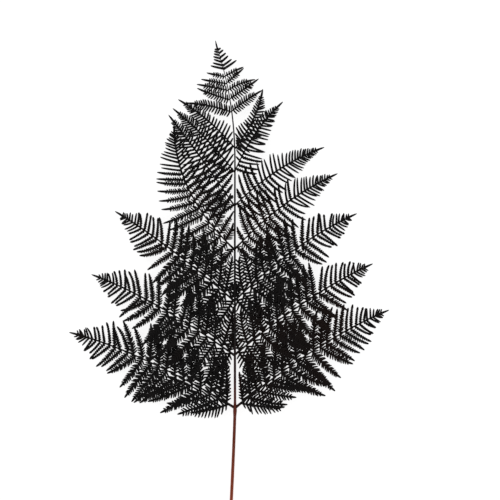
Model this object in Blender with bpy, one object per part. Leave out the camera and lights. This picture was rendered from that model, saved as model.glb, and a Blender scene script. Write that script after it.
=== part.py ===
# A dried bracken frond, dyed black, lying on a table. Metres, +Z up, stalk toward -Y.

import math

import bmesh
import bpy
import numpy as np
from mathutils import Vector

for item in list(bpy.data.objects):
    bpy.data.objects.remove(item)

# The stalk and the rachis, by height above the cut end
FROND_LENGTH = 0.601
STALK_RADIUS = 0.00196
STALK_TAPER = 0.0010
STALK_SIDES = 8
STRAIGHT_FOOT = 0.045
SWELLING_AT = 0.1575
SWELLING_RADIUS = 0.00050
SWELLING_SPREAD = 0.0045
SWELLING_RINGS = (-1.6, -0.8, 0.0, 0.8, 1.6)
RACHIS_RADIUS = 0.00150
RACHIS_FROM = 0.171
RACHIS_POWER = 0.52
RING_SPACING = 0.0095
LEAST_RING_SPACING = 0.002
SLOPE_STEP = 0.001
BLACK_FROM = 0.254
JOINT_GAP = 0.0004
TIP_LEAN = 0.024
TIP_LEAN_POWER = 2.2
LEAN_FROM = 0.45
FOOT_LEAN = 0.007
FOOT_LEAN_POWER = 1.2
FIRST_NODE = 0.1604

# How the blade arches off the table
ARCH_HEIGHT = 0.027
ARCH_FROM = 0.035
ARCH_TO = 0.625
HALF_WIDTH = 0.214
HALF_WIDTH_FROM = 0.437
WIDTH_POWER = 0.62
LEAST_TO_TIP = 0.02
SHINGLE_SLOPE = 0.14
LOWEST_DROOP = 0.12
LOWEST = 0.0004

# One row for each pinna: height of its base, length, angle from the Y axis and bend of its tip in degrees
LEFT_PINNAE = (
    (0.1604, 0.2196, 58, 18),
    (0.2240, 0.1980, 54, 16),
    (0.2888, 0.1800, 49, 10),
    (0.3500, 0.1730, 46, -46),
    (0.4016, 0.1365, 34, 4),
    (0.4424, 0.1080, 38, 13),
    (0.4724, 0.0900, 41, 18),
    (0.5156, 0.0552, 71, 15),
    (0.5306, 0.0414, 74, -10),
    (0.5420, 0.0380, 77, 2),
    (0.5504, 0.0306, 82, -6),
    (0.5588, 0.0222, 79, -4),
)
RIGHT_PINNAE = (
    (0.1604, 0.2196, 50, 18),
    (0.2252, 0.1980, 50, 16),
    (0.2900, 0.1800, 46, 20),
    (0.3512, 0.1536, 44, 22),
    (0.4030, 0.1290, 46, 24),
    (0.4440, 0.1025, 24, 23),
    (0.4710, 0.0805, 37, -28),
    (0.5170, 0.0440, 52, 6),
    (0.5320, 0.0415, 56, -4),
    (0.5430, 0.0340, 60, 18),
    (0.5516, 0.0262, 50, -4),
    (0.5600, 0.0236, 62, 2),
)

# Leaflets of the undivided top: height and length, the same on both sides of the rachis
TOP_LEAFLETS = (
    (0.5672, 0.0172),
    (0.5728, 0.0134),
    (0.5776, 0.0106),
    (0.5816, 0.0086),
    (0.5852, 0.0066),
    (0.5884, 0.0046),
)
TOP_FROM = 0.5635
TOP_LEFT_ANGLE = 80
TOP_RIGHT_ANGLE = 62
TOP_HALF_WIDTH = 0.0004
LEAFLET_FOOT = 0.0009
LEAFLET_FOOT_GROWTH = 0.03

# The rib of a pinna
BLADE_THICKNESS = 0.0007
RIB_WIDTH = 0.0008
RIB_GROWTH = 0.0082
RIB_TIP_WIDTH = 0.0007
RIB_BEND_POWER = 1.3
ROOT_GAP = 0.00035
ROOT_STEP = 0.00005

# How long its pinnules are and how far apart they grow
PINNA_LENGTHS = (0.020, 0.055, 0.083, 0.092, 0.110, 0.139, 0.160, 0.180, 0.198, 0.220)
PINNULE_LENGTHS = (0.0022, 0.0074, 0.0190, 0.0220, 0.0270, 0.0360, 0.0430, 0.0500, 0.0520, 0.0530)
TIP_RUNS = (0.60, 0.60, 1.00, 1.05, 1.10, 1.10, 1.00, 0.90, 0.80, 0.68)
FOOT_RUN = 0.25
FOOT_SHORTENING = 0.12
LOWER_SIDE = 1.06
FIRST_PINNULE = 0.0025
FIRST_PINNULE_SHARE = 0.036
FIRST_PITCH_SHARE = 0.4
TAIL_LENGTH = 0.0105
TAIL_SHARE = 0.4
SEGMENT_PITCH = 0.0038
PITCH_GROWTH = 0.030
PITCH_GROWTH_LONG = 0.070

# The angle between pinnule and rib in degrees: at the foot of the pinna, and how much it loses to the tip
LOWER_SPREAD = (92, 36)
UPPER_SPREAD = (66, 8)
LOWEST_LIFT = 40
LOWEST_LIFT_SHARE = 0.5
UPRIGHT_PINNAE = 1
UPRIGHT_WITHIN = 0.050
PINNULE_CURVE = 10
PINNULE_CURVE_POWER = 1.5

# The outline of one pinnule
PINNULE_STEPS = 12
PINNULE_WIDTH = 0.0016
LEAST_REACH = 0.28
RACHIS_CLEARANCE = (0.0058, 0.0032, 0.0024)
NODE_CLEARANCE = 0.0026
NODE_REACH = 0.030
CLEARANCE_SHARE = 0.98
TOOTHED_FROM = 0.0185
TOOTH_PITCH = 0.0160
TOOTH_LENGTH = 0.0064
TOOTH_POWER = 1.55
FULL_PINNULE = 0.0516
MOST_TOOTH = 0.43
LEAST_TOOTH = 0.0022
TOOTHED_SHARE = 0.94
TOOTH_PEAK = 0.6
TOOTH_LEAN = 0.3
TOOTH_TAPER = 0.55
TOOTH_SWELL = 0.4
TOOTH_FOOT = 0.02
NOTCH_SHARE = 0.36
LEAFLET_WIDTH = 0.0005
LEAFLET_SHARE = 0.13
LEAFLET_PITCH_SHARE = 0.36


def eased(value):
    value = min(1.0, max(0.0, value))
    return value * value * (3.0 - 2.0 * value)


def heading(angle):
    """A unit vector in plan, its angle measured from the Y axis toward X."""
    return Vector((math.sin(angle), math.cos(angle)))


def rachis_x(height):
    tip = max(0.0, (height - LEAN_FROM) / (FROND_LENGTH - LEAN_FROM))
    foot = max(0.0, (FIRST_NODE - height) / FIRST_NODE)
    return -TIP_LEAN * tip ** TIP_LEAN_POWER - FOOT_LEAN * foot ** FOOT_LEAN_POWER


def rachis_z(height):
    share = min(1.0, max(0.0, (height - ARCH_FROM) / (ARCH_TO - ARCH_FROM)))
    arch = ARCH_HEIGHT * math.sin(math.pi * share) ** 2
    return arch + STALK_RADIUS * math.cos(math.pi / STALK_SIDES)


def rachis_radius(height):
    stalk = STALK_RADIUS - STALK_TAPER * max(0.0, height - STRAIGHT_FOOT)
    stalk += SWELLING_RADIUS * math.exp(-(((height - SWELLING_AT) / SWELLING_SPREAD) ** 2))
    left = max(0.0, (FROND_LENGTH - height) / (FROND_LENGTH - RACHIS_FROM))
    upper = RACHIS_RADIUS * left ** RACHIS_POWER
    share = eased((height - FIRST_NODE) / (RACHIS_FROM - FIRST_NODE))
    return stalk * (1.0 - share) + upper * share


def blade_surface(x, y):
    """The arched surface of the whole blade: high along the rachis, down on the table at its edge."""
    left = max(LEAST_TO_TIP, FROND_LENGTH - y)
    half_width = HALF_WIDTH * (left / HALF_WIDTH_FROM) ** WIDTH_POWER
    share = min(1.0, abs(x - rachis_x(y)) / half_width)
    return rachis_z(y) * (1.0 - share * share) ** 2


class Pinna:
    """The line of one pinna's rib in plan, and the rules for what grows from it."""

    STEPS = 60

    def __init__(self, side, order, row):
        height, length, angle, bend = row
        self.side = side
        self.order = order
        self.length = length
        self.angle = math.radians(angle)
        self.bend = math.radians(bend)
        self.longest = float(np.interp(length, PINNA_LENGTHS, PINNULE_LENGTHS))
        self.tip_run = float(np.interp(length, PINNA_LENGTHS, TIP_RUNS))
        self.points = [Vector((rachis_x(height), height))]
        for step in range(self.STEPS):
            turned = self.rib_angle((step + 0.5) / self.STEPS * length)
            self.points.append(self.points[-1] + heading(turned) * length / self.STEPS)

    def rib_angle(self, station):
        share = min(1.0, max(0.0, station / self.length))
        return self.side * (self.angle + self.bend * share ** RIB_BEND_POWER)

    def at(self, station):
        place = min(max(station / self.length, 0.0), 1.0) * self.STEPS
        index = min(int(place), self.STEPS - 1)
        return self.points[index].lerp(self.points[index + 1], place - index)

    def outward(self, station, way):
        """Across the rib: toward the stalk where way is 1, toward the frond's tip where it is -1."""
        return heading(self.rib_angle(station) + self.side * way * math.pi / 2)

    def rib_half_width(self, station):
        share = station / self.length
        return 0.5 * ((RIB_WIDTH + RIB_GROWTH * self.length) * (1.0 - share) + RIB_TIP_WIDTH * share)

    def distance_to_rachis(self, station):
        """How far the nearer corner of the rib's end stands off the rachis when the rib starts here."""
        found = []
        for way in (1, -1):
            corner = self.at(station) + self.outward(station, way) * self.rib_half_width(station)
            found.append(abs(corner.x - rachis_x(corner.y)) - rachis_radius(corner.y))
        return min(found)

    def pinnule_length(self, station):
        share = 1.0 - station / self.length
        foot = eased((share - 1.0 + FOOT_RUN) / FOOT_RUN)
        profile = math.sin(0.5 * math.pi * min(1.0, share / self.tip_run)) * (1.0 - FOOT_SHORTENING * foot)
        return self.longest * profile

    def pitch(self, station):
        size = self.length / LEFT_PINNAE[0][1]
        return SEGMENT_PITCH + (PITCH_GROWTH + PITCH_GROWTH_LONG * size ** 2) * (self.length - station)

    def pinnule_stations(self, root):
        tail = min(TAIL_LENGTH, TAIL_SHARE * self.length)
        station = self.length - tail
        found = []
        first = root + FIRST_PINNULE + FIRST_PINNULE_SHARE * self.length
        while station > first - FIRST_PITCH_SHARE * self.pitch(station):
            found.append(station)
            station -= self.pitch(station)
        stretch = (found[0] - first) / (found[0] - found[-1])
        return [found[0] - stretch * (found[0] - station) for station in reversed(found)]

    def height(self, point, station):
        """The pinnae lie like shingles, each on the one below it."""
        across = (point - self.at(station)).dot(self.outward(station, 1))
        along = (point - self.at(station)).dot(heading(self.rib_angle(station)))
        place = min(self.length, station + along)
        grown = eased(place / (0.5 * self.length))
        slope = SHINGLE_SLOPE
        if self.order == 0 and across > 0.0:
            slope = -LOWEST_DROOP * grown
        raised = SHINGLE_SLOPE * self.pinnule_length(place) * grown + slope * across
        return max(LOWEST, blade_surface(point.x, point.y) + raised)


def pinnule_spread(pinna, station, way):
    """The angle between a pinnule and its rib, those near the rachis standing upright beside it."""
    share = station / pinna.length
    widest, lost = LOWER_SPREAD if way > 0 else UPPER_SPREAD
    spread = math.radians(widest - lost * share)
    if pinna.order == 0 and way > 0:
        spread -= math.radians(LOWEST_LIFT) * (1.0 - eased(share / LOWEST_LIFT_SHARE))
    if pinna.order < UPRIGHT_PINNAE and way < 0:
        leaning = max(0.0, spread - abs(pinna.rib_angle(station)))
        spread -= leaning * math.exp(-((station / UPRIGHT_WITHIN) ** 2))
    return spread


def rachis_clearance(pinna, station):
    """How far the pinnules of this pinna stay away from the middle of the rachis."""
    wide = RACHIS_CLEARANCE[min(pinna.order, 2)]
    near = min(wide, NODE_CLEARANCE)
    return near + (wide - near) * min(1.0, station / NODE_REACH)


def midline(pinna, station, way, spread, length, clearance):
    """The middle of a pinnule, stopped short where it would come too near the rachis."""
    turn = pinna.side * way
    angle = pinna.rib_angle(station) + turn * spread
    line = [pinna.at(station)]
    for step in range(PINNULE_STEPS):
        share = (step + 0.5) / PINNULE_STEPS
        bent = angle - turn * math.radians(PINNULE_CURVE) * share ** PINNULE_CURVE_POWER
        ahead = line[-1] + heading(bent) * length / PINNULE_STEPS
        if step > 0 and pinna.side * (ahead.x - rachis_x(ahead.y)) < clearance:
            break
        line.append(ahead)
    return line


def pinnule(pinna, station, way):
    """The outline of one pinnule, from its root nearer the rachis round its tip to its other root."""
    spread = pinnule_spread(pinna, station, way)
    angle = pinna.rib_angle(station) + pinna.side * way * spread
    length = pinna.pinnule_length(station) * (LOWER_SIDE if way > 0 else 1.0)
    pitch = pinna.pitch(station)
    toothed = length > TOOTHED_FROM
    tooth = TOOTH_LENGTH * (length / FULL_PINNULE) ** TOOTH_POWER + 0.5 * PINNULE_WIDTH
    tooth = min(tooth, MOST_TOOTH * pitch * math.sin(spread))
    clearance = rachis_clearance(pinna, station)
    if toothed:
        root = pinna.at(station)
        beside = pinna.side * (root.x - rachis_x(root.y))
        tooth = min(tooth, max(LEAST_TOOTH, beside - clearance))
        clearance += tooth
    line = midline(pinna, station, way, spread, length, CLEARANCE_SHARE * clearance)
    reached = (len(line) - 1) / PINNULE_STEPS
    if reached < LEAST_REACH:
        return []
    forward = heading(angle - pinna.side * way * math.pi / 2)
    along = heading(angle)

    def on_line(part):
        place = part * (len(line) - 1)
        index = min(int(place), len(line) - 2)
        return line[index].lerp(line[index + 1], place - index)

    if not toothed:
        wide = min(LEAFLET_PITCH_SHARE * pitch, LEAFLET_SHARE * length + LEAFLET_WIDTH)
        edge = pinna.outward(station, way) * pinna.rib_half_width(station)
        return [pinna.at(station - wide) + edge, line[-1], pinna.at(station + wide) + edge]
    count = max(2, round(max(2, round(length / TOOTH_PITCH)) * reached))
    nearer = []
    further = []
    foot = pinna.rib_half_width(station) / length + TOOTH_FOOT
    for index in range(count):
        low = foot + (TOOTHED_SHARE - foot) * index / count
        peak = foot + (TOOTHED_SHARE - foot) * (index + TOOTH_PEAK) / count
        depth = tooth * (1.0 - peak) ** TOOTH_TAPER * (1.0 + TOOTH_SWELL * peak)
        notch = max(0.5 * PINNULE_WIDTH, NOTCH_SHARE * depth) if index else 0.5 * PINNULE_WIDTH
        lean = TOOTH_LEAN * depth
        nearer.append(on_line(low) - forward * notch)
        nearer.append(on_line(peak) - forward * depth + along * lean)
        further.append(on_line(low) + forward * notch)
        further.append(on_line(peak) + forward * depth + along * lean)
    return nearer + [line[-1]] + further[::-1]


def pinna_outline(pinna, root):
    """The whole pinna's outline in plan, with the station of each point for its height."""
    sides = []
    for way in (1, -1):
        edge = [(pinna.at(root) + pinna.outward(root, way) * pinna.rib_half_width(root), root)]
        for station in pinna.pinnule_stations(root):
            points = pinnule(pinna, station, way)
            edge += [(point, station) for point in points]
        sides.append(edge)
    return sides[0] + [(pinna.at(pinna.length), pinna.length)] + sides[1][::-1]


def slab(name, outline, heights):
    """A thin closed blade with this outline, the same triangles on its upper and lower face."""
    shape = bmesh.new()
    corners = [shape.verts.new((point.x, point.y, 0.0)) for point in outline]
    face = shape.faces.new(corners)
    face.normal_update()
    bmesh.ops.triangulate(shape, faces=[face])
    for corner, height in zip(corners, heights):
        corner.co.z = height
    made = bmesh.ops.extrude_face_region(shape, geom=shape.faces[:])
    lifted = [item for item in made["geom"] if isinstance(item, bmesh.types.BMVert)]
    bmesh.ops.translate(shape, verts=lifted, vec=(0.0, 0.0, BLADE_THICKNESS))
    bmesh.ops.recalc_face_normals(shape, faces=shape.faces[:])
    return to_object(name, shape)


def to_object(name, shape):
    mesh = bpy.data.meshes.new(name)
    shape.to_mesh(mesh)
    shape.free()
    made = bpy.data.objects.new(name, mesh)
    bpy.context.scene.collection.objects.link(made)
    return made


def pinna_blade(name, side, order, row, root_gap):
    pinna = Pinna(side, order, row)
    root = 0.0
    while root_gap > 0.0 and pinna.distance_to_rachis(root) < root_gap:
        root += ROOT_STEP
    outline = pinna_outline(pinna, root)
    points = [point for point, station in outline]
    heights = [pinna.height(point, station) for point, station in outline]
    return slab(name, points, [height - 0.5 * BLADE_THICKNESS for height in heights])


def top_blade(name):
    """The undivided top of the frond, cut to the rachis in simple leaflets."""
    sides = []
    for side, angle in ((-1, TOP_LEFT_ANGLE), (1, TOP_RIGHT_ANGLE)):
        edge = [Vector((rachis_x(TOP_FROM) + side * TOP_HALF_WIDTH, TOP_FROM))]
        for height, length in TOP_LEAFLETS:
            half = LEAFLET_FOOT + LEAFLET_FOOT_GROWTH * length
            lean = heading(side * math.radians(angle))
            foot = Vector((rachis_x(height), height))
            edge.append(Vector((rachis_x(height - half) + side * TOP_HALF_WIDTH, height - half)))
            edge.append(foot + lean * length)
            edge.append(Vector((rachis_x(height + half) + side * TOP_HALF_WIDTH, height + half)))
        sides.append(edge)
    tip = Vector((rachis_x(FROND_LENGTH), FROND_LENGTH))
    outline = sides[0] + [tip] + sides[1][::-1]
    heights = [blade_surface(point.x, point.y) - 0.5 * BLADE_THICKNESS for point in outline]
    return slab(name, outline, [max(LOWEST - 0.5 * BLADE_THICKNESS, height) for height in heights])


def rachis_tube(name, low, high):
    """A tapering stalk with one flat side down, between two heights above the cut end."""
    count = max(2, round((high - low) / RING_SPACING))
    heights = {low + (high - low) * index / count for index in range(count + 1)}
    heights |= {SWELLING_AT + SWELLING_SPREAD * part for part in SWELLING_RINGS}
    heights |= {ARCH_FROM}
    heights = sorted(height for height in heights if low <= height <= high)
    kept = [heights[0]]
    for height in heights[1:]:
        if height - kept[-1] > LEAST_RING_SPACING:
            kept.append(height)
    kept[-1] = high
    shape = bmesh.new()
    rings = []
    for height in kept:
        above = height + SLOPE_STEP
        below = height - SLOPE_STEP
        ahead = Vector((rachis_x(above), above, rachis_z(above)))
        behind = Vector((rachis_x(below), below, rachis_z(below)))
        along = (ahead - behind).normalized()
        across = along.cross(Vector((0.0, 0.0, 1.0))).normalized()
        up = across.cross(along)
        centre = Vector((rachis_x(height), height, rachis_z(height)))
        ring = []
        for index in range(STALK_SIDES):
            turn = (index + 0.5) * 2.0 * math.pi / STALK_SIDES
            spoke = across * math.cos(turn) + up * math.sin(turn)
            ring.append(shape.verts.new(centre + spoke * rachis_radius(height)))
        rings.append(ring)
    for lower, upper in zip(rings, rings[1:]):
        for index in range(STALK_SIDES):
            after = (index + 1) % STALK_SIDES
            shape.faces.new((lower[index], lower[after], upper[after], upper[index]))
    shape.faces.new(rings[0])
    shape.faces.new(rings[-1])
    bmesh.ops.recalc_face_normals(shape, faces=shape.faces[:])
    return to_object(name, shape)


def fused(name, trunk, branches):
    """One closed body of a trunk and what grows from it."""
    group = bpy.data.collections.new(name + "_branches")
    bpy.context.scene.collection.children.link(group)
    for branch in branches:
        bpy.context.scene.collection.objects.unlink(branch)
        group.objects.link(branch)
    union = trunk.modifiers.new("union", "BOOLEAN")
    union.operation = "UNION"
    union.operand_type = "COLLECTION"
    union.collection = group
    union.solver = "EXACT"
    graph = bpy.context.evaluated_depsgraph_get()
    mesh = bpy.data.meshes.new_from_object(trunk.evaluated_get(graph))
    trunk.modifiers.clear()
    trunk.data = mesh
    mesh.name = name
    trunk.name = name
    for branch in branches:
        bpy.data.objects.remove(branch)
    bpy.data.collections.remove(group)
    return trunk


def material(name, colour, roughness):
    made = bpy.data.materials.new(name)
    made.use_nodes = True
    surface = made.node_tree.nodes["Principled BSDF"]
    surface.inputs["Base Color"].default_value = (*colour, 1.0)
    surface.inputs["Roughness"].default_value = roughness
    surface.inputs["Metallic"].default_value = 0.0
    return made


def build():
    leaf = material("dyed_leaf", (0.012, 0.011, 0.011), 0.55)
    bark = material("stalk_skin", (0.155, 0.030, 0.016), 0.45)
    made = []
    stem = rachis_tube("stem", 0.0, BLACK_FROM - 0.5 * JOINT_GAP)
    stem.data.materials.append(bark)
    made.append(stem)
    words = ("basal", "second")
    branches = []
    for side, word, rows in ((-1, "left", LEFT_PINNAE), (1, "right", RIGHT_PINNAE)):
        for order, row in enumerate(rows):
            if order < 2:
                name = words[order] + "_pinna_" + word
                piece = pinna_blade(name, side, order, row, ROOT_GAP)
                piece.data.materials.append(leaf)
                made.append(piece)
            else:
                branches.append(pinna_blade("pinna", side, order, row, 0.0))
    branches.append(top_blade("top"))
    trunk = rachis_tube("rachis", BLACK_FROM + 0.5 * JOINT_GAP, 0.5 * (TOP_FROM + FROND_LENGTH))
    upper = fused("upper_blade", trunk, branches)
    upper.data.materials.clear()
    upper.data.materials.append(leaf)
    made.append(upper)
    return made


def centre(made):
    """Moves the bottom centre of the whole to the origin."""
    corners = [item.matrix_world @ Vector(corner) for item in made for corner in item.bound_box]
    low = [min(corner[axis] for corner in corners) for axis in range(3)]
    high = [max(corner[axis] for corner in corners) for axis in range(3)]
    shift = Vector((-0.5 * (low[0] + high[0]), -0.5 * (low[1] + high[1]), -low[2]))
    for item in made:
        item.location = shift


centre(build())
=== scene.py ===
import math
import random

import bmesh
import bpy
import numpy as np
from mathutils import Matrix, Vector, noise


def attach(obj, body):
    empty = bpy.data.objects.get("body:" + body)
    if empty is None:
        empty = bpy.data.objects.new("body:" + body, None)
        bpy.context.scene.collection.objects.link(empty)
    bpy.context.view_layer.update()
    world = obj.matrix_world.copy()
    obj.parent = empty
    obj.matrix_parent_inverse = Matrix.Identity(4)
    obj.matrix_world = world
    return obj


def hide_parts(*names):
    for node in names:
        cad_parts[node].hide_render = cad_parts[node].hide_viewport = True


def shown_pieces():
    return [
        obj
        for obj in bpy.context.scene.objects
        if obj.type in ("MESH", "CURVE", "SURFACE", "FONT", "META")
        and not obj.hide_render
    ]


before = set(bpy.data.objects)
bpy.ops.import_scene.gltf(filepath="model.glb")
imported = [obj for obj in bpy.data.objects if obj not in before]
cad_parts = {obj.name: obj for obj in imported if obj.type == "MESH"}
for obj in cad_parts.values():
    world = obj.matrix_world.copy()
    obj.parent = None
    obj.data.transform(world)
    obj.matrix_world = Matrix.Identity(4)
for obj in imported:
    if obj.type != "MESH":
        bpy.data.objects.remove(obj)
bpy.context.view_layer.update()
print("frame loaded")

# Lengths are in metres and angles in degrees. Heights run along the frond from its cut end

shift = (0.0072015, -0.3004583)  # from the frond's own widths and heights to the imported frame

frond = {
    "length": 0.601,
    "stalkRadius": 0.00196,
    "stalkTaper": 0.0010,
    "straightFoot": 0.045,
    "stalkSides": 8,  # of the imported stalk, which lies on one of them
    "swellingAt": 0.1575,
    "swellingRadius": 0.00050,
    "swellingSpread": 0.0045,
    "rachisRadius": 0.00150,
    "rachisFrom": 0.171,
    "rachisPower": 0.42,
    "blackFrom": 0.254,
    "tipLean": 0.024,
    "tipLeanPower": 2.2,
    "leanFrom": 0.45,
    "footLean": 0.007,
    "footLeanPower": 1.2,
    "firstNode": 0.1604,
    "archHeight": 0.027,
    "archFrom": 0.035,
    "archTo": 0.625,
    "halfWidth": 0.214,
    "halfWidthFrom": 0.437,
    "widthPower": 0.62,
    "leastToTip": 0.02,
    "shingleSlope": 0.14,
    "shingleRise": 0.5,  # the share of a rib over which its blade lifts off the one below
    "lowestDroop": 0.12,
    "lowest": 0.0004,  # of the middle of a blade above the table
    "leastHeight": 0.00005,
}

# height of the base, length, angle from the frond's line, bend of the rib toward its tip
leftPinnae = (
    (0.1604, 0.2196, 58, 18),
    (0.2240, 0.1980, 54, 16),
    (0.2888, 0.1800, 49, 10),
    (0.3500, 0.1730, 46, -46),
    (0.4016, 0.1365, 34, 4),
    (0.4424, 0.1080, 38, 13),
    (0.4724, 0.0900, 41, 18),
    (0.5156, 0.0552, 71, 15),
    (0.5306, 0.0414, 74, -10),
    (0.5420, 0.0380, 77, 2),
    (0.5504, 0.0306, 82, -6),
    (0.5588, 0.0222, 79, -4),
)
rightPinnae = (
    (0.1604, 0.2196, 50, 18),
    (0.2252, 0.1980, 50, 16),
    (0.2900, 0.1800, 46, 20),
    (0.3512, 0.1536, 44, 22),
    (0.4030, 0.1290, 46, 24),
    (0.4440, 0.1025, 24, 23),
    (0.4710, 0.0805, 37, -28),
    (0.5170, 0.0440, 52, 6),
    (0.5320, 0.0415, 56, -4),
    (0.5430, 0.0340, 60, 18),
    (0.5516, 0.0262, 50, -4),
    (0.5600, 0.0236, 62, 2),
)


def eased(value):
    value = np.clip(value, 0.0, 1.0)
    return value * value * (3.0 - 2.0 * value)


def rachisX(height):
    tip = np.maximum(0.0, (height - frond["leanFrom"]) / (frond["length"] - frond["leanFrom"]))
    foot = np.maximum(0.0, (frond["firstNode"] - height) / frond["firstNode"])
    tipLean = frond["tipLean"] * tip ** frond["tipLeanPower"]
    footLean = frond["footLean"] * foot ** frond["footLeanPower"]
    return -tipLean - footLean


def rachisZ(height):
    share = np.clip((height - frond["archFrom"]) / (frond["archTo"] - frond["archFrom"]), 0.0, 1.0)
    lying = frond["stalkRadius"] * math.cos(math.pi / frond["stalkSides"])
    return frond["archHeight"] * np.sin(math.pi * share) ** 2 + lying


def rachisRadius(height):
    lower = frond["stalkRadius"] - frond["stalkTaper"] * np.maximum(0.0, height - frond["straightFoot"])
    fromSwelling = (height - frond["swellingAt"]) / frond["swellingSpread"]
    lower = lower + frond["swellingRadius"] * np.exp(-(fromSwelling ** 2))
    left = np.maximum(0.0, (frond["length"] - height) / (frond["length"] - frond["rachisFrom"]))
    upper = frond["rachisRadius"] * left ** frond["rachisPower"]
    share = eased((height - frond["firstNode"]) / (frond["rachisFrom"] - frond["firstNode"]))
    return lower * (1.0 - share) + upper * share


def bladeSurface(x, y):
    # the frond's blade as a whole: as high as the rachis at its middle, on the table at its edge
    left = np.maximum(frond["leastToTip"], frond["length"] - y)
    halfWidth = frond["halfWidth"] * (left / frond["halfWidthFrom"]) ** frond["widthPower"]
    share = np.minimum(1.0, np.abs(x - rachisX(y)) / halfWidth)
    return rachisZ(y) * (1.0 - share * share) ** 2


def lineFrom(x, y, turned, length):
    # a line in plan, walked in equal steps at the given angles
    lineX = x + np.concatenate(([0.0], np.cumsum(np.sin(turned)))) * length / len(turned)
    lineY = y + np.concatenate(([0.0], np.cumsum(np.cos(turned)))) * length / len(turned)
    return lineX, lineY


cut = {  # how a pinna is cut into pinnules
    "lowerPairs": 3,  # the other pairs are the upper pinnae
    "bendPower": 1.3,
    "ribWidth": 0.0008,
    "ribGrowth": 0.0084,
    "ribTipWidth": 0.0008,
    "ribFoot": 0.34,  # how much thicker a rib is where it leaves the rachis
    "ribFootShare": 0.06,
    "pinnaLengths": (0.020, 0.055, 0.083, 0.092, 0.110, 0.139, 0.160, 0.180, 0.198, 0.220),
    "pinnuleLengths": (0.0034, 0.0082, 0.0190, 0.0220, 0.0270, 0.0360, 0.0430, 0.0500, 0.0520, 0.0530),
    # the share of the rib, from its tip, over which the pinnules grow to their full length
    "tipRuns": (0.56, 0.56, 1.00, 1.05, 1.10, 1.10, 1.00, 0.90, 0.80, 0.68),
    "firstPinnule": 0.0025,
    "firstPinnuleShare": (0.036, 0.020, 0.008),  # first pair, second pair, all others
    "firstRoom": 0.4,  # in spacings, how far past its place the first pinnule may be laid
    "footShortening": 0.12,
    "tail": 0.0105,
    "tailShare": 0.4,
    "pitch": 0.0022,
    "pitchReach": 0.062,  # how far from the tip the spacing keeps growing
    "pitchPower": 1.5,
    "growthLengths": (0.100, 0.150, 0.220),
    "pitchGrowths": (0.0053, 0.0074, 0.0099),
    "upperLengths": (0.0, 0.006, 0.009, 0.012, 0.016, 0.020, 0.026, 0.032, 0.042, 0.052),
    "upperPitches": (0.0024, 0.0028, 0.0033, 0.0036, 0.0042, 0.0049, 0.0060, 0.0074, 0.0100, 0.0124),
    "lowerSpread": (92, 36),  # of pinnules below the rib: their angle to it, and what is lost to the tip
    "upperSpreads": ((66, 8), (76, 13)),  # of those above the rib: on lower pinnae, on upper pinnae
    "unevenness": (7.0, 3.5),  # lower pinnae, upper pinnae
    "waveShare": 0.7,
    "waveLength": 0.013,
    "lowestLift": 40,  # of the first pair's pinnules below the rib, toward its tip
    "lowestLiftShare": 0.5,
    "uprightWithin": 0.050,
    "uprightMargin": 4.0,
    "shortenedOrder": 6,  # the pinnae whose upper fingers are short halfway along
    "shortening": 0.36,
    "clearance": (  # of the rachis, pair by pair: below nothing, the pinnule passes under it
        (0.0052, 0.0058),
        (-0.0090, 0.0010),
        (-0.0080, 0.0010),
        (-0.0020, 0.0010),
        (0.0006, 0.0010),
    ),
    "nodeClearance": 0.0026,
    "nodeReach": 0.030,
}


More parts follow.
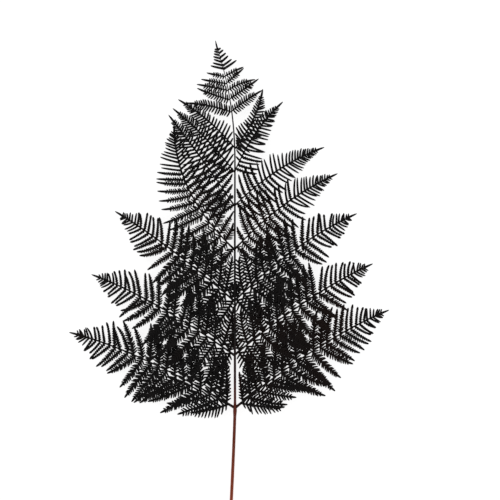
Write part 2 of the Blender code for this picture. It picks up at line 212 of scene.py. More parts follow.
class Pinna:
    steps = 80  # of its rib

    def __init__(self, side, order, row):
        height, length, angle, bend = row
        self.side = side
        self.order = order
        self.group = 0 if order < cut["lowerPairs"] else 1
        self.length = length
        self.angle = math.radians(angle)
        self.bend = math.radians(bend)
        self.tail = min(cut["tail"], cut["tailShare"] * length)
        self.longest = float(np.interp(length, cut["pinnaLengths"], cut["pinnuleLengths"]))
        self.tipRun = float(np.interp(length, cut["pinnaLengths"], cut["tipRuns"]))
        middles = (np.arange(self.steps) + 0.5) / self.steps
        turned = self.ribAngle(middles * length)
        self.marks = np.linspace(0.0, length, self.steps + 1)
        self.lineX, self.lineY = lineFrom(rachisX(height), height, turned, length)

    def ribAngle(self, station):
        share = np.clip(station / self.length, 0.0, 1.0)
        return self.side * (self.angle + self.bend * share ** cut["bendPower"])

    def at(self, station):
        return np.array([np.interp(station, self.marks, line) for line in (self.lineX, self.lineY)])

    def ribRadius(self, station):
        share = station / self.length
        wide = cut["ribWidth"] + cut["ribGrowth"] * self.length
        wide = wide * (1.0 + cut["ribFoot"] * np.exp(-((share / cut["ribFootShare"]) ** 2)))
        return 0.5 * (wide * (1.0 - share) + cut["ribTipWidth"] * share)

    def pinnuleLength(self, station):
        share = 1.0 - station / self.length
        foot = 1.0 - cut["footShortening"] * eased(4.0 * share - 3.0)  # over the first quarter of the rib
        return self.longest * np.sin(0.5 * math.pi * np.minimum(1.0, share / self.tipRun)) * foot

    def pitch(self, station):
        if self.group == 1:
            return float(np.interp(self.pinnuleLength(station), cut["upperLengths"], cut["upperPitches"]))
        grown = float(np.interp(self.length, cut["growthLengths"], cut["pitchGrowths"]))
        away = max(0.0, self.length - station) / cut["pitchReach"]
        return cut["pitch"] + grown * (1.0 - math.exp(-(away ** cut["pitchPower"])))

    def stations(self):
        # laid from the tip, then stretched so that the last one stands at the first pinnule's place
        station = self.length - self.tail
        first = cut["firstPinnule"] + cut["firstPinnuleShare"][min(self.order, 2)] * self.length
        found = []
        while station > first - cut["firstRoom"] * self.pitch(station):
            found.append(station)
            station -= self.pitch(station)
        stretch = (found[0] - first) / (found[0] - found[-1])
        return [found[0] - stretch * (found[0] - station) for station in reversed(found)]

    def height(self, x, y, station):
        # the pinnae lie like shingles: each slopes across its rib and lifts off the one below
        turned = self.ribAngle(station)
        foot = self.at(station)
        awayX = x - foot[0]
        awayY = y - foot[1]
        outward = turned + self.side * math.pi / 2
        across = awayX * np.sin(outward) + awayY * np.cos(outward)
        along = awayX * np.sin(turned) + awayY * np.cos(turned)
        place = np.clip(station + along, 0.0, self.length)
        grown = eased(place / (frond["shingleRise"] * self.length))
        slope = np.full_like(across, frond["shingleSlope"])
        if self.order == 0:
            slope = np.where(across > 0.0, -frond["lowestDroop"] * grown, slope)
        raised = frond["shingleSlope"] * self.pinnuleLength(place) * grown + slope * across
        return np.maximum(frond["lowest"], bladeSurface(x, y) + raised)


class Store:  # points of one piece in plan, each with the station that its height is read from
    def __init__(self):
        self.columns = []
        self.faces = []
        self.count = 0

    def add(self, x, y, station, lift, skin, faces):
        shape = x.shape
        columns = [np.broadcast_to(values, shape).ravel() for values in (x, y, station, lift, skin)]
        self.columns.append(np.column_stack(columns))
        self.faces += [[corner + self.count for corner in face] for face in faces]
        self.count += x.size


def ringFaces(rings, sides, tipped):
    # the skin of a tube of rings: its far end runs to one point where tipped, or else is flat
    faces = []
    for ring in range(rings - 1):
        for index in range(sides):
            after = (index + 1) % sides
            low = ring * sides
            faces.append([low + index, low + after, low + sides + after, low + sides + index])
    last = (rings - 1) * sides
    if tipped:
        faces += [[last + index, last + (index + 1) % sides, rings * sides] for index in range(sides)]
    faces.append(list(range(sides))[::-1])
    if not tipped:
        faces.append([last + index for index in range(sides)])
    return faces


# a blade's cross-section: across it in half widths, and up from its middle. The margins are rolled under
fullSection = (
    (-1.0, -0.00020),
    (-0.58, 0.00010),
    (0.0, 0.00001),
    (0.58, 0.00010),
    (1.0, -0.00020),
    (0.0, -0.00024),
)
slimSection = ((-1.0, -0.00012), (0.0, 0.00010), (1.0, -0.00012), (0.0, -0.00018))

segmentKinds = {  # cross-section, where the rings lie, and the two powers that shape the tip
    "full": (fullSection, (0.0, 0.3, 0.62, 0.88), (3.6, 0.5)),
    "slim": (slimSection, (0.0, 0.45, 0.82), (3.6, 0.5)),
    "tail": (fullSection, (0.0, 0.18, 0.38, 0.58, 0.76, 0.9), (2.6, 0.6)),
    "finger": (fullSection, (0.0, 0.2, 0.42, 0.64, 0.84, 0.96), (5.0, 0.5)),
}
segmentForm = {
    "footSwell": 0.22,
    "footFade": 9.0,
    "liftPower": 1.6,
    "thinning": 0.45,
    "tipSkin": -0.00008,
}
segmentFaces = {
    kind: ringFaces(len(rings), len(section), True)
    for kind, (section, rings, powers) in segmentKinds.items()
}


def addSegment(store, root, angle, length, halfWidth, curve, station, lifts, twist, kind="full"):
    # one blade, adnate at its foot: a tail is pointed, every other kind blunt
    section, shares, (fullness, bluntness) = segmentKinds[kind]
    section = np.array(section)
    shares = np.array(shares)
    swell = 1.0 + segmentForm["footSwell"] * np.exp(-segmentForm["footFade"] * shares)
    widths = halfWidth * swell * (1.0 - shares ** fullness) ** bluntness
    middle = angle - 0.5 * curve * shares
    ends = angle - curve * shares
    centreX = root[0] + length * shares * np.sin(middle)
    centreY = root[1] + length * shares * np.cos(middle)
    offset = widths[:, None] * section[None, :, 0]
    x = centreX[:, None] + offset * np.cos(ends)[:, None]
    y = centreY[:, None] - offset * np.sin(ends)[:, None]
    lift = lifts[0] + (lifts[1] - lifts[0]) * shares[:, None] ** segmentForm["liftPower"] + twist * offset
    skin = section[None, :, 1] * (1.0 - segmentForm["thinning"] * shares[:, None])
    tipAngle = angle - 0.5 * curve
    x = np.append(x.ravel(), root[0] + length * math.sin(tipAngle))
    y = np.append(y.ravel(), root[1] + length * math.cos(tipAngle))
    lift = np.append(lift.ravel(), lifts[1])
    skin = np.append(skin.ravel(), segmentForm["tipSkin"])
    store.add(x, y, station, lift, skin, segmentFaces[kind])


def addTube(store, line, half, across, skin, station, lift):
    # a closed tube along a line in plan: across says where its corners lie, in half widths
    x, y = line
    stepX = np.gradient(x)
    stepY = np.gradient(y)
    size = np.hypot(stepX, stepY)
    nearX = x[:, None] + (half * stepY / size)[:, None] * across
    nearY = y[:, None] - (half * stepX / size)[:, None] * across
    stations = np.asarray(station, float).reshape(-1, 1)
    store.add(nearX, nearY, stations, lift[:, None], skin, ringFaces(len(x), len(across), False))


def addRib(store, line, radius, station, lift, sides):
    turns = (np.arange(sides) + 0.5) * 2.0 * math.pi / sides
    addTube(store, line, radius, np.cos(turns), radius[:, None] * np.sin(turns), station, lift)


def addWeb(store, line, half, station, lift):
    # the strip of blade that joins the segments along their rib
    across, skin = np.array(slimSection).T
    addTube(store, line, half, across, skin, station, lift)


pinnuleForm = {
    "wayShares": {1: 1.07, -1: 0.99},  # of its length: below the rib, above it
    "lengthRange": (0.88, 1.09),
    "addedLength": 0.0003,
    "curve": 12,
    "curls": ((-0.6, 2.6), (0.1, 1.8)),  # least and most of that curve: lower pinnae, upper pinnae
    "curlPower": 1.5,
    "toothedFrom": (0.0155, 0.0255),  # a shorter one is a plain finger: lower pinnae, upper pinnae
    "toothedRoom": 0.0012,
    "leastShare": 0.2,  # left out where the rachis leaves room for less of it
    "droop": 0.03,
    "droopRange": (0.2, 1.0),
    "arch": 0.035,
    "archRange": (-0.2, 1.0),
    "archTop": 0.6,
    "twist": 0.16,
    "fingerWidth": 0.00116,
    "fingerGrowth": 0.006,
    "fingerPitchShare": 0.37,
    "fingerCurl": 1.2,
    "fingerTip": (-0.0002, 0.0003),
    "shortFinger": 0.007,
    # the end without teeth: its length and its most share of the pinnule, on lower and on upper pinnae
    "tails": ((0.0060, 0.15), (0.0105, 0.30)),
    "tailPast": 1.08,
    "ribSides": 5,
    "ribSpacing": 0.004,
    "ribInTail": 0.45,  # the share of the tail that the rib reaches into
    "ribRadius": 0.00036,
    "ribGrowth": 0.008,
    "ribTipRadius": 0.00022,
    "webWidth": 0.00150,
    "webPlaces": (0.0, 0.15, 1.0),
    "webShares": (0.7, 1.0, 0.8),
    "tailWidth": 0.00142,
}

toothForm = {
    "pinnuleLengths": (0.020, 0.026, 0.032, 0.040, 0.050, 0.060),
    "lengths": (0.0024, 0.0028, 0.0038, 0.0062, 0.0088, 0.0100),
    "mostPitchShare": 0.84,
    "nearReach": 0.034,  # from the rachis: teeth of lower pinnae are longer and further apart there
    "nearGrowth": 0.9,
    "nearPitchGrowth": 0.45,
    "pitch": 0.00262,
    "pitchGrowth": 0.006,
    "width": (0.00108, 0.00092),  # half widths: lower pinnae, upper pinnae
    "wideFrom": 0.004,
    "widening": 18.0,
    "least": 0.0012,
    "fullFrom": 0.0026,
    "ribMargin": 0.0002,
    "firstPlace": 0.25,
    "handShift": 0.12,
    "tipPower": 0.55,
    "tipGrowth": (0.95, 0.36),
    "lengthRange": (0.90, 1.08),
    "angle": 68,
    "angleLost": 12,
    "angleRange": 8,
    "bend": 12,
    "bendRange": 6,
    "tipDroop": 0.00015,
    "tipRange": (-0.00025, 0.0002),
    "twistShare": 0.1,
}


def spreadOf(pinna, station, way, draw):
    # the angle between pinnule and rib: the upper ones of the first pair stand upright beside the rachis
    share = station / pinna.length
    widest, lost = cut["lowerSpread"] if way > 0 else cut["upperSpreads"][pinna.group]
    spread = widest - lost * share
    if pinna.order == 0 and way > 0:
        spread -= cut["lowestLift"] * (1.0 - float(eased(share / cut["lowestLiftShare"])))
    if pinna.order == 0 and way < 0:
        turned = math.degrees(abs(float(pinna.ribAngle(station))))
        leaning = max(0.0, spread - turned - cut["uprightMargin"])
        spread -= leaning * math.exp(-((station / cut["uprightWithin"]) ** 2))
    uneven = cut["unevenness"][pinna.group]
    wave = cut["waveShare"] * uneven * math.sin(station / cut["waveLength"] + pinna.order)
    return math.radians(spread + draw.uniform(-uneven, uneven) + wave)


def clearanceOf(pinna, station, draw):
    # close to the node no pinnule keeps further from the rachis than the node's clearance
    row = min(pinna.order, len(cut["clearance"]) - 1)
    wide = draw.uniform(*cut["clearance"][row])
    near = min(wide, cut["nodeClearance"])
    return near + (wide - near) * min(1.0, station / cut["nodeReach"])


class Pinnule:  # one pinnule's line in plan, as far as the rachis leaves room for it
    steps = 24

    def __init__(self, pinna, station, way, draw):
        self.pinna = pinna
        self.station = station
        self.turn = pinna.side * way
        self.spread = spreadOf(pinna, station, way, draw)
        self.angle = float(pinna.ribAngle(station)) + self.turn * self.spread
        length = float(pinna.pinnuleLength(station)) * pinnuleForm["wayShares"][way]
        length = length * draw.uniform(*pinnuleForm["lengthRange"])
        if way < 0 and pinna.order == cut["shortenedOrder"]:
            length *= 1.0 - cut["shortening"] * math.sin(math.pi * station / pinna.length) ** 2
        length += pinnuleForm["addedLength"]
        self.length = length
        self.pitch = pinna.pitch(station)
        self.toothed = length > pinnuleForm["toothedFrom"][pinna.group]
        self.clearance = clearanceOf(pinna, station, draw)
        curl = draw.uniform(*pinnuleForm["curls"][pinna.group])
        self.curve = self.turn * math.radians(pinnuleForm["curve"] * curl)
        self.root = pinna.at(station)
        turned = self.angleAt(np.linspace(0.0, 1.0, self.steps + 1))[:-1]
        self.lineX, self.lineY = lineFrom(self.root[0], self.root[1], turned, length)
        room = self.clearance + (pinnuleForm["toothedRoom"] if self.toothed else 0.0)
        beside = pinna.side * (self.lineX - rachisX(self.lineY))
        blocked = np.nonzero(beside[2:] < room)[0]
        self.last = int(blocked[0]) + 1 if len(blocked) else self.steps
        self.reach = length * self.last / self.steps

    def lay(self, draw):
        # its tip droops, its middle arches, and it is twisted about its rib
        self.droop = -draw.uniform(*pinnuleForm["droopRange"]) * pinnuleForm["droop"] * self.reach
        self.arch = draw.uniform(*pinnuleForm["archRange"]) * pinnuleForm["arch"] * self.reach
        self.twist = draw.uniform(-pinnuleForm["twist"], pinnuleForm["twist"])

    def angleAt(self, part):
        return self.angle - self.curve * part ** pinnuleForm["curlPower"]

    def at(self, part):
        marks = np.arange(self.steps + 1)
        return [np.interp(part * self.last, marks, line) for line in (self.lineX, self.lineY)]

    def liftAt(self, part):
        return self.arch * math.sin(math.pi * part) * pinnuleForm["archTop"] + self.droop * part ** 2


def addFinger(store, pinnule, draw):
    half = pinnuleForm["fingerWidth"] + pinnuleForm["fingerGrowth"] * pinnule.reach
    half = min(half, pinnuleForm["fingerPitchShare"] * pinnule.pitch)
    lifts = (0.0, pinnule.droop + draw.uniform(*pinnuleForm["fingerTip"]))
    kind = "finger" if pinnule.reach > pinnuleForm["shortFinger"] else "full"
    curve = pinnule.curve * pinnuleForm["fingerCurl"]
    root, angle, reach = pinnule.root, pinnule.angle, pinnule.reach
    addSegment(store, root, angle, reach, half, curve, pinnule.station, lifts, pinnule.twist, kind)


def addTooth(store, pinnule, part, hand, shiftedBy, longest, draw):
    pinna = pinnule.pinna
    place = part + hand * shiftedBy
    low, grown = toothForm["tipGrowth"]
    depth = longest * (1.0 - part) ** toothForm["tipPower"] * (low + grown * part)
    depth = depth * draw.uniform(*toothForm["lengthRange"])
    foot = pinnule.at(place)
    if hand > 0:  # the side toward the rachis
        room = pinna.side * (foot[0] - float(rachisX(foot[1]))) - pinnule.clearance
        depth = min(depth, room)
        if depth < toothForm["least"]:
            return
    unevenAngle = draw.uniform(-toothForm["angleRange"], toothForm["angleRange"])
    opened = math.radians(toothForm["angle"] - toothForm["angleLost"] * part + unevenAngle)
    outward = pinnule.angleAt(place) + hand * pinnule.turn * opened
    start = pinnule.liftAt(place)
    end = start - toothForm["tipDroop"] + pinnule.twist * hand * depth
    end = end + draw.uniform(*toothForm["tipRange"])
    widened = 1.0 + toothForm["widening"] * max(0.0, depth - toothForm["wideFrom"])
    half = toothForm["width"][pinna.group] * widened
    unevenBend = draw.uniform(-toothForm["bendRange"], toothForm["bendRange"])
    bend = hand * pinnule.turn * math.radians(toothForm["bend"] + unevenBend)
    kind = "full" if depth > toothForm["fullFrom"] else "slim"
    twist = toothForm["twistShare"] * pinnule.twist
    addSegment(store, foot, outward, depth, half, bend, pinnule.station, (start, end), twist, kind)


def addToothedPinnule(store, pinnule, draw):
    pinna, station, reach = pinnule.pinna, pinnule.station, pinnule.reach
    tail, tailShare = pinnuleForm["tails"][pinna.group]
    tail = min(tail, tailShare * reach)
    ribEnd = 1.0 - (1.0 - pinnuleForm["ribInTail"]) * tail / reach
    parts = np.linspace(0.0, ribEnd, max(4, int(reach / pinnuleForm["ribSpacing"])))
    line = np.array([pinnule.at(part) for part in parts]).T
    lifts = np.array([pinnule.liftAt(part) for part in parts])
    ribRoot = pinnuleForm["ribRadius"] + pinnuleForm["ribGrowth"] * reach
    radius = np.interp(parts, (0.0, 1.0), (ribRoot, pinnuleForm["ribTipRadius"]))
    addRib(store, line, radius, station, lifts, pinnuleForm["ribSides"])
    webs = pinnuleForm["webWidth"] * np.interp(parts, pinnuleForm["webPlaces"], pinnuleForm["webShares"])
    addWeb(store, line, webs, station, lifts)

    # the teeth, in pairs along the rib
    nearness = math.exp(-((station / toothForm["nearReach"]) ** 2)) if pinna.group == 0 else 0.0
    longest = float(np.interp(pinnule.length, toothForm["pinnuleLengths"], toothForm["lengths"]))
    longest = min(longest, toothForm["mostPitchShare"] * pinnule.pitch * math.sin(pinnule.spread))
    longest = longest * (1.0 + toothForm["nearGrowth"] * nearness)
    pitch = toothForm["pitch"] + toothForm["pitchGrowth"] * reach
    pitch = pitch * (1.0 + toothForm["nearPitchGrowth"] * nearness)
    count = max(3, round((reach - tail) / pitch))
    clearRoot = (float(pinna.ribRadius(station)) + toothForm["ribMargin"]) / reach
    for index in range(count):
        part = clearRoot + (1.0 - tail / reach - clearRoot) * (index + toothForm["firstPlace"]) / count
        for hand in (1, -1):
            addTooth(store, pinnule, part, hand, toothForm["handShift"] / count, longest, draw)

    # the pointed end
    tailPart = 1.0 - tail / reach
    turned = pinnule.angleAt(tailPart)
    curve = pinnule.curve * (1.0 - tailPart ** pinnuleForm["curlPower"])
    lifts = (pinnule.liftAt(tailPart), pinnule.liftAt(1.0))
    foot = pinnule.at(tailPart)
    past = tail * pinnuleForm["tailPast"]
    half = pinnuleForm["tailWidth"]
    addSegment(store, foot, turned, past, half, curve, station, lifts, pinnule.twist, "tail")


def addPinnule(store, pinna, station, way, draw):
    pinnule = Pinnule(pinna, station, way, draw)
    if pinnule.last < pinnuleForm["leastShare"] * pinnule.steps:
        return
    pinnule.lay(draw)
    if pinnule.toothed:
        addToothedPinnule(store, pinnule, draw)
    else:
        addFinger(store, pinnule, draw)


def meshPiece(name, points, faces, materials):
    mesh = bpy.data.meshes.new(name)
    mesh.from_pydata(points, [], faces)
    shape = bmesh.new()
    shape.from_mesh(mesh)
    bmesh.ops.recalc_face_normals(shape, faces=shape.faces[:])
    shape.to_mesh(mesh)
    shape.free()
    for material in materials:
        mesh.materials.append(material)
    mesh.polygons.foreach_set("use_smooth", [True] * len(mesh.polygons))
    piece = bpy.data.objects.new(name, mesh)
    bpy.context.scene.collection.objects.link(piece)
    return piece


def storedPiece(name, store, surface, material):
    x, y, station, lift, skin = np.concatenate(store.columns).T
    z = np.maximum(surface(x, y, station) + lift, frond["lowest"]) + skin
    z = np.maximum(z, frond["leastHeight"])
    points = np.column_stack((x + shift[0], y + shift[1], z)).tolist()
    return meshPiece(name, points, store.faces, [material])


pinnaForm = {
    "inStalk": 0.4,  # where the ribs of the two lowest pairs start, in radii of the stalk
    "ribSpacing": 0.003,
    "ribInTail": 0.5,
    "thickPairs": 5,
    "ribSides": (8, 6),  # ribs of the thick pairs, of all others
    "webPlaces": (0.0, 0.5, 1.0),
    "webWidths": (0.0008, 0.0010, 0.0010),
    "uneven": 0.1,  # in spacings of the pinnules, as the next
    "lowerNearer": 0.08,  # a pinnule below the rib stands nearer to the rachis by this, one above further
    "tailFrom": 1.05,
    "tailReach": 1.22,
}


def pinnaPiece(name, side, order, row, material):
    draw = random.Random(name)
    pinna = Pinna(side, order, row)
    store = Store()
    low = 0.0 if order > 1 else pinnaForm["inStalk"] * frond["stalkRadius"]
    high = pinna.length - (1.0 - pinnaForm["ribInTail"]) * pinna.tail
    marks = np.linspace(low, high, max(10, int(pinna.length / pinnaForm["ribSpacing"])))
    line = pinna.at(marks)
    flat = np.zeros(len(marks))
    sides = pinnaForm["ribSides"][0 if order < pinnaForm["thickPairs"] else 1]
    addRib(store, line, pinna.ribRadius(marks), marks, flat, sides)
    webs = np.interp(marks / pinna.length, pinnaForm["webPlaces"], pinnaForm["webWidths"])
    addWeb(store, line, webs, marks, flat)
    for station in pinna.stations():
        for way in (1, -1):
            moved = draw.uniform(-pinnaForm["uneven"], pinnaForm["uneven"])
            moved = moved - pinnaForm["lowerNearer"] * way
            addPinnule(store, pinna, station + moved * pinna.pitch(station), way, draw)
    start = pinna.length - pinnaForm["tailFrom"] * pinna.tail
    turned = float(pinna.ribAngle(start))
    bend = turned - float(pinna.ribAngle(pinna.length))
    reach = pinnaForm["tailReach"] * pinna.tail
    half = pinnuleForm["tailWidth"]
    addSegment(store, pinna.at(start), turned, reach, half, bend, pinna.length, (0.0, 0.0), 0.0, "tail")
    return storedPiece(name, store, pinna.height, material)


frondTop = {  # the undivided top
    "leaflets": {  # height and length of each, left and right
        -1: (
            (0.5690, 0.0160),
            (0.5730, 0.0124),
            (0.5772, 0.0100),
            (0.5814, 0.0092),
            (0.5852, 0.0073),
            (0.5886, 0.0059),
            (0.5918, 0.0041),
        ),
        1: (
            (0.5684, 0.0196),
            (0.5724, 0.0140),
            (0.5774, 0.0112),
            (0.5826, 0.0090),
            (0.5876, 0.0070),
            (0.5916, 0.0044),
        ),
    },
    "spreads": {-1: 80, 1: 56},
    "uneven": 4,
    "curve": 10,
    "width": 0.00124,
    "growth": 0.012,
    "tipDroop": -0.0002,
    "tailFrom": 0.5916,
    "tailPast": 0.0027,
    "tailWidth": 0.0011,
    "tailCurve": -9,
}


def topPiece(name, material):
    draw = random.Random(name)
    store = Store()
    for side in (-1, 1):
        for place, length in frondTop["leaflets"][side]:
            root = (float(rachisX(place)), place)
            spread = frondTop["spreads"][side] + draw.uniform(-frondTop["uneven"], frondTop["uneven"])
            angle = side * math.radians(spread)
            curve = side * math.radians(frondTop["curve"])
            half = frondTop["width"] + frondTop["growth"] * length
            lifts = (0.0, frondTop["tipDroop"])
            addSegment(store, root, angle, length, half, curve, 0.0, lifts, 0.0, "finger")
    low, high = frondTop["tailFrom"], frond["length"]
    root = (float(rachisX(low)), low)
    angle = math.atan2(float(rachisX(high) - rachisX(low)), high - low)
    reach = high - low + frondTop["tailPast"]
    curve = math.radians(frondTop["tailCurve"])
    addSegment(store, root, angle, reach, frondTop["tailWidth"], curve, 0.0, (0.0, 0.0), 0.0, "tail")

    def surface(x, y, station):
        return np.maximum(frond["lowest"], bladeSurface(x, y))

    return storedPiece(name, store, surface, material)


stalk = {  # the brown stalk with the lower rachis, and the black upper rachis
    "top": 0.2543,
    "blackLow": 0.2539,
    "blackTop": 0.5935,
    "sides": 28,
    "ringSpacing": 0.0016,
    "grooveDepth": 0.17,
    "grooveWidth": 24,
    "unevenness": 0.035,
    "noiseAround": 2.2,
    "noiseAlong": 150.0,
    "endBevel": 0.00018,
    "endRing": 0.72,
    "endRise": (0.00005, 0.00016),  # of the inner ring and of the middle, into the stalk
    "leastHeight": 0.00002,
}


def tubeRings(heights, bevelled):
    # a shallow groove runs along the top, and the skin is slightly uneven
    turns = np.arange(stalk["sides"]) * 2.0 * math.pi / stalk["sides"]
    fromTop = np.degrees(np.abs((turns - 0.5 * math.pi + math.pi) % (2.0 * math.pi) - math.pi))
    groove = 1.0 - stalk["grooveDepth"] * np.exp(-((fromTop / stalk["grooveWidth"]) ** 2))
    around, along = stalk["noiseAround"], stalk["noiseAlong"]
    points = []
    for row, height in enumerate(heights):
        radius = float(rachisRadius(height))
        if row == 0 and bevelled:
            radius -= stalk["endBevel"]
        for turn, share in zip(turns, groove):
            place = Vector((around * math.cos(turn), around * math.sin(turn), height * along))
            own = radius * share * (1.0 + stalk["unevenness"] * noise.noise(place))
            x = float(rachisX(height)) + own * math.cos(turn)
            z = max(stalk["leastHeight"], float(rachisZ(height)) + own * math.sin(turn))
            points.append((x + shift[0], height + shift[1], z))
    return points


def closeTube(points, faces, base, inward):
    # an end of three parts: the rim, a ring inside it and the middle
    sides = stalk["sides"]
    middle = sum((Vector(points[base + index]) for index in range(sides)), Vector()) / sides
    inner = len(points)
    for index in range(sides):
        near = middle.lerp(Vector(points[base + index]), stalk["endRing"])
        points.append((near.x, near.y + stalk["endRise"][0] * inward, near.z))
    for index in range(sides):
        after = (index + 1) % sides
        faces.append((base + after, base + index, inner + index, inner + after))
    points.append((middle.x, middle.y + stalk["endRise"][1] * inward, middle.z))
    faces += [(inner + (index + 1) % sides, inner + index, len(points) - 1) for index in range(sides)]


def tubePiece(name, low, high, material, endMaterial, bevelled):
    sides = stalk["sides"]
    rows = max(8, int((high - low) / stalk["ringSpacing"]))
    points = tubeRings(np.linspace(low, high, rows + 1), bevelled)
    faces = []
    for row in range(rows):
        for index in range(sides):
            after = (index + 1) % sides
            base = row * sides
            faces.append((base + index, base + after, base + sides + after, base + sides + index))
    closeTube(points, faces, 0, 1.0)
    closeTube(points, faces, rows * sides, -1.0)
    piece = meshPiece(name, points, faces, [material, endMaterial])
    lowEnd = range(rows * sides, (rows + 2) * sides)
    for face in piece.data.polygons:
        face.use_smooth = face.index < lowEnd.start
        face.material_index = 1 if face.index in lowEnd else 0
    return piece


# Materials: every one is worked out from the piece's own coordinates

def startMaterial(name, specular):
    material = bpy.data.materials.new(name)
    material.use_nodes = True
    nodes = material.node_tree.nodes
    shader = nodes["Principled BSDF"]
    shader.inputs["Specular IOR Level"].default_value = specular
    coordinates = nodes.new("ShaderNodeTexCoord")
    return material, nodes, material.node_tree.links, shader, coordinates.outputs["Object"]


def noiseFrom(nodes, links, place, scale, detail, stretch=None):
    texture = nodes.new("ShaderNodeTexNoise")
    texture.inputs["Scale"].default_value = scale
    texture.inputs["Detail"].default_value = detail
    if stretch:
        mapping = nodes.new("ShaderNodeMapping")
        mapping.inputs["Scale"].default_value = stretch
        links.new(place, mapping.inputs["Vector"])
        place = mapping.outputs["Vector"]
    links.new(place, texture.inputs["Vector"])
    return texture.outputs["Fac"]


def mathOf(nodes, links, kind, *values):
    result = nodes.new("ShaderNodeMath")
    result.operation = kind
    for socket, value in zip(result.inputs, values):
        if isinstance(value, float):
            socket.default_value = value
        else:
            links.new(value, socket)
    return result.outputs["Value"]


def partOf(nodes, links, place, axis):
    apart = nodes.new("ShaderNodeSeparateXYZ")
    links.new(place, apart.inputs["Vector"])
    return apart.outputs[axis]


def rangeOf(nodes, links, value, results, within=(0.3, 0.7)):
    spread = nodes.new("ShaderNodeMapRange")
    sockets = ("From Min", "From Max", "To Min", "To Max")
    for socket, number in zip(sockets, (*within, *results)):
        spread.inputs[socket].default_value = number
    links.new(value, spread.inputs["Value"])
    return spread.outputs["Result"]


def rampOf(nodes, links, value, stops):
    ramp = nodes.new("ShaderNodeValToRGB")
    points = ramp.color_ramp.elements
    while len(points) < len(stops):
        points.new(0.5)
    for point, (position, colour) in zip(points, stops):
        point.position = position
        point.color = (*colour, 1.0)
    links.new(value, ramp.inputs["Fac"])
    return ramp.outputs["Color"]


def blendOf(nodes, links, share, first, second, kind="MIX"):
    mix = nodes.new("ShaderNodeMix")
    mix.data_type = "RGBA"
    mix.blend_type = kind
    for index, value in ((0, share), (6, first), (7, second)):  # the sockets of a colour mix
        if isinstance(value, float):
            mix.inputs[index].default_value = value
        elif isinstance(value, tuple):
            mix.inputs[index].default_value = (*value, 1.0)
        else:
            links.new(value, mix.inputs[index])
    return mix.outputs[2]


def bumpOf(nodes, links, height, strength, distance, before=None):
    bump = nodes.new("ShaderNodeBump")
    bump.inputs["Strength"].default_value = strength
    bump.inputs["Distance"].default_value = distance
    links.new(height, bump.inputs["Height"])
    if before:
        links.new(before, bump.inputs["Normal"])
    return bump.outputs["Normal"]


leaf = {
    "dark": (0.0042, 0.0037, 0.0039),
    "light": (0.0180, 0.0158, 0.0160),
    "mottle": 70.0,
    "mottleStops": (0.32, 0.72),
    "grain": 1500.0,
    "grainShare": 0.35,
    "warm": (0.0190, 0.0088, 0.0060),  # where the dye lets the brown leaf through
    "warmth": 0.75,
    "patches": 11.0,
    "patchStops": (0.50, 0.72),
    "foot": (0.044, 0.012, 0.009),  # the reddish foot of the lowest ribs
    "footReach": (0.003, 0.008),  # from the rachis
    "roughness": (0.50, 0.68),
    "specular": 0.13,
    "grainBump": (0.35, 0.00012),  # strength and depth
    "broad": 420.0,
    "broadBump": (0.4, 0.0004),
}


def leafMaterial(name, redFoot):
    # black dye with a pale grain, and patches that let the brown leaf through
    material, nodes, links, shader, place = startMaterial(name, leaf["specular"])
    mottle = noiseFrom(nodes, links, place, leaf["mottle"], 4.0)
    colour = rampOf(nodes, links, mottle, tuple(zip(leaf["mottleStops"], (leaf["dark"], leaf["light"]))))
    grain = noiseFrom(nodes, links, place, leaf["grain"], 3.0)
    speck = rangeOf(nodes, links, grain, (0.0, leaf["grainShare"]))
    colour = blendOf(nodes, links, speck, colour, leaf["light"])
    patches = noiseFrom(nodes, links, place, leaf["patches"], 3.0)
    warmth = rangeOf(nodes, links, patches, (0.0, leaf["warmth"]), leaf["patchStops"])
    colour = blendOf(nodes, links, warmth, colour, leaf["warm"])
    if redFoot:
        away = mathOf(nodes, links, "SUBTRACT", partOf(nodes, links, place, "X"), shift[0])
        size = mathOf(nodes, links, "ABSOLUTE", away)
        share = rangeOf(nodes, links, size, (1.0, 0.0), leaf["footReach"])
        colour = blendOf(nodes, links, share, colour, leaf["foot"])
    links.new(colour, shader.inputs["Base Color"])
    links.new(rangeOf(nodes, links, mottle, leaf["roughness"]), shader.inputs["Roughness"])
    fine = bumpOf(nodes, links, grain, *leaf["grainBump"])
    broad = noiseFrom(nodes, links, place, leaf["broad"], 2.0)
    links.new(bumpOf(nodes, links, broad, *leaf["broadBump"], fine), shader.inputs["Normal"])
    return material


brownSkin = {
    "colours": (  # share of the way to the black upper rachis
        (0.0, (0.660, 0.112, 0.038)),
        (0.46, (0.270, 0.042, 0.011)),
        (0.60, (0.240, 0.036, 0.014)),
        (0.80, (0.048, 0.010, 0.010)),
        (0.985, (0.0080, 0.0062, 0.0064)),
    ),
    "from": 0.015,
    "wander": 45.0,
    "wanderReach": 0.03,
    "streaks": (2600.0, 60.0, 2600.0),
    "streakStops": (0.32, 0.68),
    "streakDepth": (0.55, 1.25),
    "roughness": (0.36, 0.56),
    "specular": 0.35,
    "grain": 1800.0,
    "grainBump": (0.25, 0.0001),
    "streakBump": (0.5, 0.0003),
}


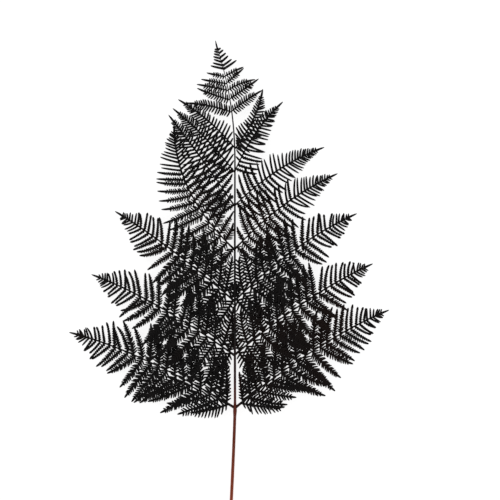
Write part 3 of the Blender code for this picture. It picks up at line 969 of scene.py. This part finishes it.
def skinMaterial(name):
    # the colour turns from brown to black with height, and lengthwise streaks lie over it
    material, nodes, links, shader, place = startMaterial(name, brownSkin["specular"])
    height = partOf(nodes, links, place, "Y")
    wander = noiseFrom(nodes, links, place, brownSkin["wander"], 2.0)
    joined = mathOf(nodes, links, "MULTIPLY_ADD", wander, brownSkin["wanderReach"], height)
    low = shift[1] + brownSkin["from"]
    along = rangeOf(nodes, links, joined, (0.0, 1.0), (low, low + frond["blackFrom"]))
    colour = rampOf(nodes, links, along, brownSkin["colours"])
    streak = noiseFrom(nodes, links, place, 1.0, 5.0, brownSkin["streaks"])
    dull = rangeOf(nodes, links, streak, brownSkin["streakDepth"], brownSkin["streakStops"])
    links.new(blendOf(nodes, links, 1.0, colour, dull, "MULTIPLY"), shader.inputs["Base Color"])
    links.new(rangeOf(nodes, links, streak, brownSkin["roughness"]), shader.inputs["Roughness"])
    grain = noiseFrom(nodes, links, place, brownSkin["grain"], 3.0)
    fine = bumpOf(nodes, links, grain, *brownSkin["grainBump"])
    links.new(bumpOf(nodes, links, streak, *brownSkin["streakBump"], fine), shader.inputs["Normal"])
    return material


cutEnd = {
    "flesh": (0.300, 0.165, 0.085),
    "lightFlesh": (0.42, 0.27, 0.15),
    "fleshStops": (0.3, 0.75),
    "fleshGrain": 900.0,
    "bundle": (0.070, 0.026, 0.014),
    "bundleScale": 2200.0,
    "bundleSize": (0.15, 0.45),
    "bump": (0.5, 0.0003),
    "roughness": 0.75,
    "specular": 0.25,
}


def cutMaterial(name):
    # pale flesh with the dark ends of the bundles in it
    material, nodes, links, shader, place = startMaterial(name, cutEnd["specular"])
    shader.inputs["Roughness"].default_value = cutEnd["roughness"]
    cells = nodes.new("ShaderNodeTexVoronoi")
    cells.inputs["Scale"].default_value = cutEnd["bundleScale"]
    links.new(place, cells.inputs["Vector"])
    share = rangeOf(nodes, links, cells.outputs["Distance"], (1.0, 0.0), cutEnd["bundleSize"])
    flesh = noiseFrom(nodes, links, place, cutEnd["fleshGrain"], 3.0)
    stops = tuple(zip(cutEnd["fleshStops"], (cutEnd["flesh"], cutEnd["lightFlesh"])))
    tone = rampOf(nodes, links, flesh, stops)
    links.new(blendOf(nodes, links, share, tone, cutEnd["bundle"]), shader.inputs["Base Color"])
    links.new(bumpOf(nodes, links, flesh, *cutEnd["bump"]), shader.inputs["Normal"])
    return material


leafBlack = leafMaterial("dyedLeaf", False)
leafFooted = leafMaterial("dyedLeafRedFoot", True)
skinBrown = skinMaterial("stalkSkin")
cutPale = cutMaterial("stalkCut")
print("materials made")

stem = tubePiece("stalk", 0.0, stalk["top"], skinBrown, cutPale, True)
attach(stem, "root")
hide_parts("stem")

rachis = tubePiece("upper-rachis", stalk["blackLow"], stalk["blackTop"], leafBlack, leafBlack, False)
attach(rachis, "root")
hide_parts("upper_blade")
print("stalk and rachis made")

ownNodes = ("basal_pinna", "second_pinna")  # the pairs that are nodes of their own
for side, sideName, rows in ((-1, "left", leftPinnae), (1, "right", rightPinnae)):
    for order, row in enumerate(rows):
        name = f"pinna-{order + 1}-{sideName}"
        piece = pinnaPiece(name, side, order, row, leafFooted if order == 0 else leafBlack)
        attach(piece, "root")
        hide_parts(f"{ownNodes[order]}_{sideName}" if order < len(ownNodes) else "upper_blade")
top = topPiece("frond-top", leafBlack)
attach(top, "root")
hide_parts("upper_blade")
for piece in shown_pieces():
    piece.data.calc_loop_triangles()

studio = {
    "floorSize": 6.0,
    "floorColour": (0.45, 0.45, 0.45),
    "floorRoughness": 0.9,
    "floorGlow": 0.86,
    "sky": 0.30,
    "keyPower": 6.5,
    "keyPlace": (-1.0, 0.9, 1.7),
    "keySize": 1.3,
    "fillPower": 3.0,
    "fillPlace": (1.3, -0.6, 1.3),
    "fillSize": 1.6,
    "centre": (0.0252, 0.0495),  # what the middle of the picture shows
    "lens": 85.0,  # in millimetres, as the sensor
    "sensor": 36.0,
    "across": 0.600,  # what the picture shows from side to side
    "bladeHeight": 0.012,
}


def softLight(name, place, power, size):
    light = bpy.data.lights.new(name, "AREA")
    light.shape = "SQUARE"
    light.size = size
    light.energy = power
    lamp = bpy.data.objects.new(name, light)
    lamp.location = place
    lamp.rotation_euler = (-Vector(place)).to_track_quat("-Z", "Y").to_euler()
    bpy.context.scene.collection.objects.link(lamp)


def paleFloor():
    half = 0.5 * studio["floorSize"]
    corners = [(-half, -half, 0.0), (half, -half, 0.0), (half, half, 0.0), (-half, half, 0.0)]
    mesh = bpy.data.meshes.new("floor")
    mesh.from_pydata(corners, [], [(0, 1, 2, 3)])
    floor = bpy.data.objects.new("floor", mesh)
    bpy.context.scene.collection.objects.link(floor)
    material = bpy.data.materials.new("paleFloor")
    material.use_nodes = True
    shader = material.node_tree.nodes["Principled BSDF"]
    shader.inputs["Base Color"].default_value = (*studio["floorColour"], 1.0)
    shader.inputs["Roughness"].default_value = studio["floorRoughness"]
    shader.inputs["Specular IOR Level"].default_value = 0.0
    shader.inputs["Emission Color"].default_value = (1.0, 1.0, 1.0, 1.0)
    shader.inputs["Emission Strength"].default_value = studio["floorGlow"]
    floor.data.materials.append(material)
    return floor


def paleSky():
    world = bpy.data.worlds.new("studio")
    world.use_nodes = True
    background = world.node_tree.nodes["Background"]
    background.inputs["Color"].default_value = (1.0, 1.0, 1.0, 1.0)
    background.inputs["Strength"].default_value = studio["sky"]
    bpy.context.scene.world = world


def overheadCamera():
    lens = bpy.data.cameras.new("camera")
    lens.lens = studio["lens"]
    lens.sensor_width = studio["sensor"]
    camera = bpy.data.objects.new("camera", lens)
    away = studio["across"] * studio["lens"] / lens.sensor_width
    camera.location = (*studio["centre"], studio["bladeHeight"] + away)
    bpy.context.scene.collection.objects.link(camera)
    bpy.context.scene.camera = camera


floor = paleFloor()
paleSky()
softLight("key", studio["keyPlace"], studio["keyPower"], studio["keySize"])
softLight("fill", studio["fillPlace"], studio["fillPower"], studio["fillSize"])
overheadCamera()
bpy.context.scene.view_settings.view_transform = "Standard"
print("studio made")
